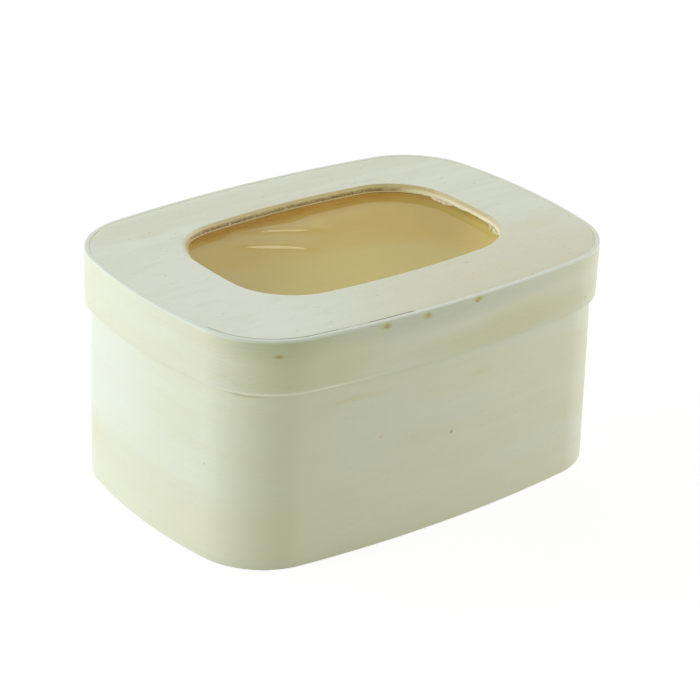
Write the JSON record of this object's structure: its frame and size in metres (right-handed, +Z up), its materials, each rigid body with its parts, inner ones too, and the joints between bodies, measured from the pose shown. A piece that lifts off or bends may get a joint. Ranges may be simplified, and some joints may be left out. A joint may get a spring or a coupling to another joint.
{
  "type": "cheese box with window lid",
  "caption": "Oblong bentwood box of pale poplar with round corners and a lift-off lid that has a window of clear film.",
  "frame": {"origin": "centre of the box's bounding box, on the surface that the box stands on", "axes": "+Z up, +X along the length of the box, +Y along its width, towards the glued seams"},
  "size_m": [0.15, 0.108, 0.0736],
  "materials": {
    "wall_veneer": "sanded poplar veneer, bare, grain running round the box",
    "panel_veneer": "sanded poplar veneer, bare, grain along the box",
    "core_veneer": "poplar veneer laid across, its cut end grain open and brownish",
    "wood_glue": "dried wood glue, cream, slightly glossy",
    "pin_steel": "plain steel wire, dull, with a brown stain",
    "clear_tape": "clear double-sided tape, slightly milky",
    "clear_film": "clear glossy film, slightly wavy"
  },
  "bodies": {
    "box": {"body_band": "wall_veneer", "body_seam_glue": "wood_glue", "base_outer_ply": "panel_veneer", "base_core_ply": "core_veneer", "base_inner_ply": "panel_veneer", "base_glue_bead": "wood_glue"},
    "lid": {"lid_band": "wall_veneer", "lid_seam_glue": "wood_glue", "lid_top_ply": "panel_veneer", "lid_core_ply": "core_veneer", "lid_under_ply": "panel_veneer", "lid_pins": "pin_steel", "film_tape": "clear_tape", "window_film": "clear_film"}
  },
  "joints": [
    {"name": "lid_lift", "type": "slide", "parent": "box", "child": "lid", "axis": [0, 0, 1], "range_m": [0, 0.08]}
  ]
}
